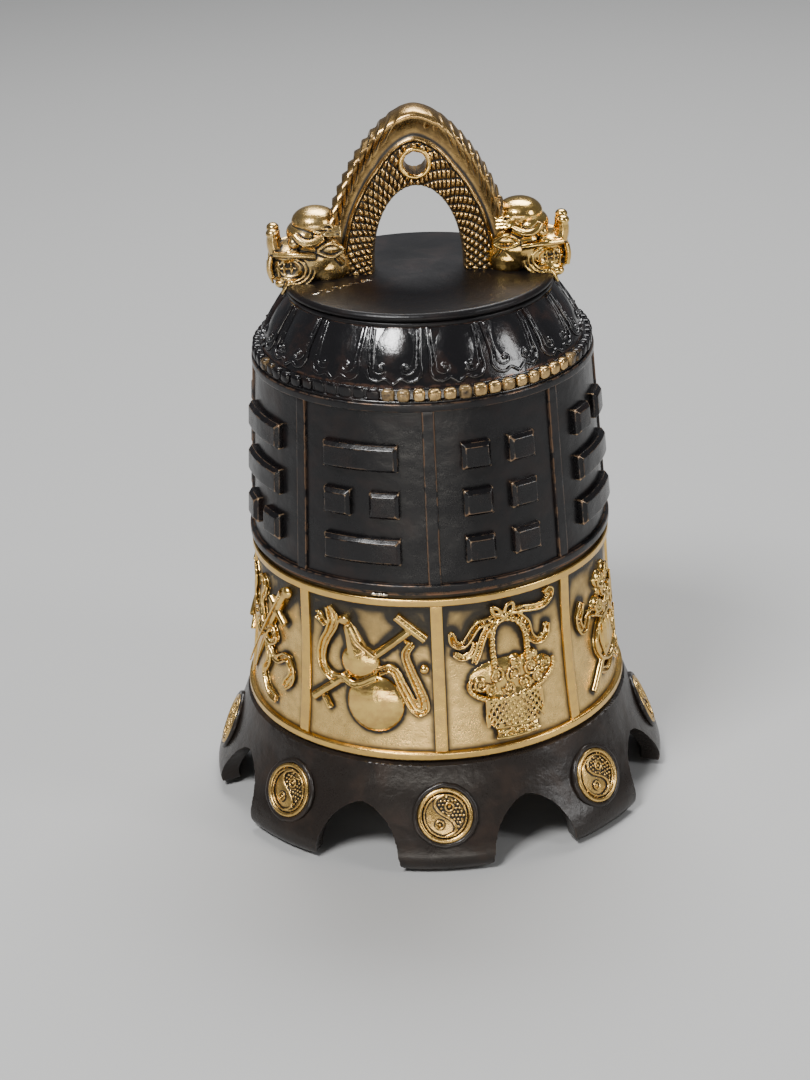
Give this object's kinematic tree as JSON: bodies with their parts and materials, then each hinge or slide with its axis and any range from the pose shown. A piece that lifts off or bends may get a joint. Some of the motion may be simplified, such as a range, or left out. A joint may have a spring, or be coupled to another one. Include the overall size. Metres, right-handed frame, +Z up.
{
  "type": "eight-trigram temple bell",
  "caption": "Cast brass bell with a double-dragon arch handle, trigram drum, emblem band, scalloped foot and a swinging clapper.",
  "frame": {"origin": "on the bell's axis, level with the feet", "axes": "+Z up along the bell's axis, +X along the handle's plane towards the right dragon, +Y along the hanging hole"},
  "size_m": [0.098, 0.098, 0.1472],
  "materials": {
    "black_patina": "satin black patina on cast brass",
    "gloss_black_patina": "glossy black patina with reddish wear",
    "worn_bead_patina": "black patina rubbed through to brass on the tops",
    "bar_patina": "black patina with worn brass edges",
    "gold_brass": "matt gold brass with dark recesses",
    "bright_brass": "polished gold brass",
    "brown_patina": "satin brown-black patina",
    "plain_brass": "plain tarnished brass"
  },
  "bodies": {
    "bell": {"crown_plate": "black_patina", "shoulder_ring": "gloss_black_patina", "lotus_petals": "gloss_black_patina", "bead_course": "worn_bead_patina", "trigram_drum": "black_patina", "trigram_wind": "bar_patina", "trigram_fire": "bar_patina", "trigram_earth": "bar_patina", "trigram_lake": "bar_patina", "trigram_heaven": "bar_patina", "trigram_water": "bar_patina", "trigram_mountain": "bar_patina", "trigram_thunder": "bar_patina", "emblem_band": "gold_brass", "emblem_sword": "bright_brass", "emblem_gourd": "bright_brass", "emblem_basket": "bright_brass", "emblem_fan": "bright_brass", "emblem_lotus": "bright_brass", "emblem_flute": "bright_brass", "emblem_clappers": "bright_brass", "emblem_fish_drum": "bright_brass", "skirt": "brown_patina", "medallions": "bright_brass", "handle_arch": "gold_brass", "dragon_left": "bright_brass", "dragon_right": "bright_brass", "clapper_staple": "plain_brass"},
    "clapper": {"clapper_rod": "plain_brass", "clapper_ball": "plain_brass"}
  },
  "joints": [
    {"name": "clapper_swing", "type": "hinge", "parent": "bell", "child": "clapper", "pos_m": [0, 0, 0.1023], "axis": [1, 0, 0], "range_deg": [-18.5, 18.5]}
  ]
}
